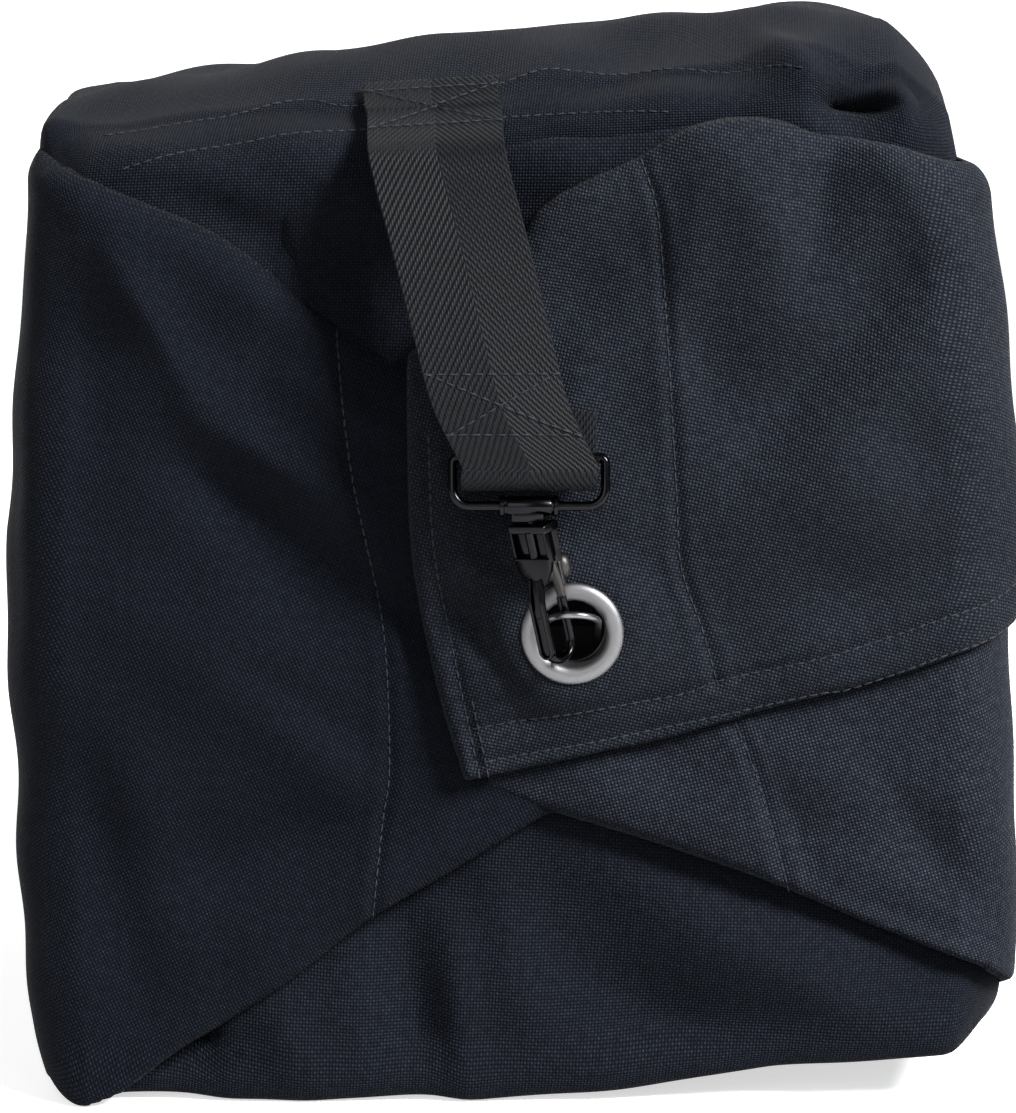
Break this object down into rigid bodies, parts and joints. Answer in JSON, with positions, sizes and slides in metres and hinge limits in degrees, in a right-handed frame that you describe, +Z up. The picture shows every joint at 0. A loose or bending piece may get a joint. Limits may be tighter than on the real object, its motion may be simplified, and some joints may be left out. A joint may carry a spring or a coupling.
{
  "type": "sand bag",
  "caption": "Upright cloth sand bag with a fold-over mouth, closed by a webbing strap and a snap hook on a staple.",
  "frame": {"origin": "centre of the flat base the bag stands on", "axes": "+Z up, -Y towards the closure face, +X to the right seen from the closure face"},
  "size_m": [0.272, 0.2527, 0.287],
  "materials": {
    "bag_cloth": "plain-woven coated nylon, dull sheen",
    "binding_tape": "woven tape",
    "webbing": "herringbone webbing",
    "eyelet_metal": "satin nickel plate",
    "black_nickel": "black nickel plate, glossy",
    "satin_nickel": "dark satin plate",
    "spring_steel": "bright rolled strip",
    "liner_film": "heavy polythene film",
    "sand": "dry loose grain",
    "tie_cord": "twisted cord"
  },
  "bodies": {
    "root": {"body_shell": "bag_cloth", "rear_panel": "bag_cloth", "rear_binding": "binding_tape", "mouth_band": "bag_cloth", "top_tuck": "bag_cloth", "bottom_tuck": "bag_cloth", "left_flap": "bag_cloth", "right_under_flap": "bag_cloth", "right_flap": "bag_cloth", "flap_hem": "bag_cloth", "strap_patch": "binding_tape", "strap": "webbing", "outer_eyelet": "eyelet_metal", "outer_washer": "eyelet_metal", "left_eyelet": "eyelet_metal", "left_washer": "eyelet_metal", "top_eyelet": "eyelet_metal", "top_washer": "eyelet_metal", "staple": "black_nickel", "staple_plate": "black_nickel", "staple_back_plate": "black_nickel", "left_liner": "liner_film", "right_liner": "liner_film", "left_sand": "sand", "right_sand": "sand", "left_tie": "tie_cord", "right_tie": "tie_cord"},
    "ring": {"ring": "black_nickel"},
    "swivel": {"swivel_barrel": "black_nickel"},
    "hook": {"hook_body": "black_nickel", "gate_rivet": "satin_nickel", "gate_spring": "spring_steel"},
    "gate": {"gate": "satin_nickel"}
  },
  "joints": [
    {"name": "ring_swing", "type": "hinge", "parent": "root", "child": "ring", "pos_m": [0.00562, -0.12814, 0.1813], "axis": [-1, 0, 0], "range_deg": [-4, 20]},
    {"name": "swivel_tilt", "type": "hinge", "parent": "ring", "child": "swivel", "pos_m": [0.00562, -0.1304, 0.1685], "axis": [-1, 0, 0], "range_deg": [-29, 6]},
    {"name": "hook_spin", "type": "hinge", "parent": "swivel", "child": "hook", "pos_m": [0.00562, -0.1304, 0.1685], "axis": [-0.2068, -0.1045, 0.9728], "range_deg": [-12, 12]},
    {"name": "gate_open", "type": "hinge", "parent": "hook", "child": "gate", "pos_m": [0.00863, -0.12834, 0.15805], "axis": [-0.7633, 0.6393, -0.0935], "range_deg": [0, 20], "stiffness_Nm_per_rad": 0.02, "springref_deg": -8.59}
  ],
  "couplings": [
    {"joint": "swivel_tilt", "follows": "ring_swing", "ratio": -1.4}
  ]
}
